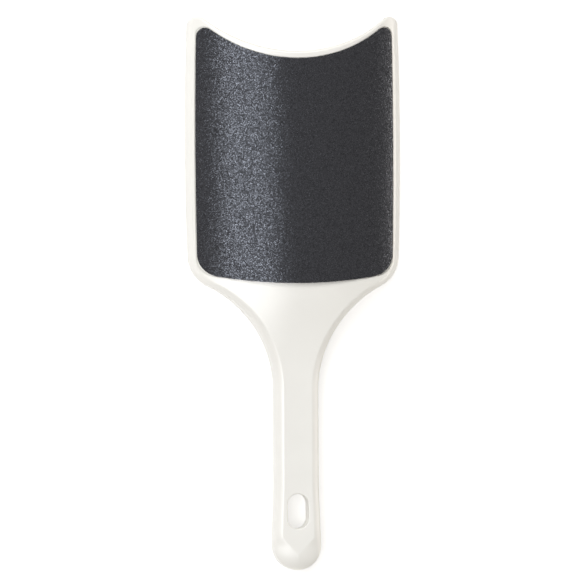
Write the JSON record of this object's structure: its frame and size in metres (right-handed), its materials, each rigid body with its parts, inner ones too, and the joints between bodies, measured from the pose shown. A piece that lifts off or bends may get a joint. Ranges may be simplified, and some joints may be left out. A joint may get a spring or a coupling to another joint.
{
  "type": "foot file",
  "caption": "Paddle foot file with a wide arched head, an abrasive sheet on its outer face, a flared neck and a channelled handle with an oval hanging hole.",
  "frame": {"origin": "under the middle of the whole length, on the centre line, at the level of the rims that the head lies on", "axes": "+Y from the handle's end towards the head's horns, +Z out of the abrasive face, +X across the head"},
  "size_m": [0.0824, 0.21, 0.0196],
  "materials": {
    "white_plastic": "satin injection-moulded polypropylene",
    "adhesive": "clear amber pressure-sensitive adhesive film",
    "backing_cloth": "dark resin-filled cotton cloth",
    "abrasive_grit": "black silicon carbide grit in resin"
  },
  "bodies": {
    "root": {"moulded_body": "white_plastic", "adhesive_film": "adhesive", "abrasive_backing": "backing_cloth", "grit_coat": "abrasive_grit"}
  },
  "joints": []
}
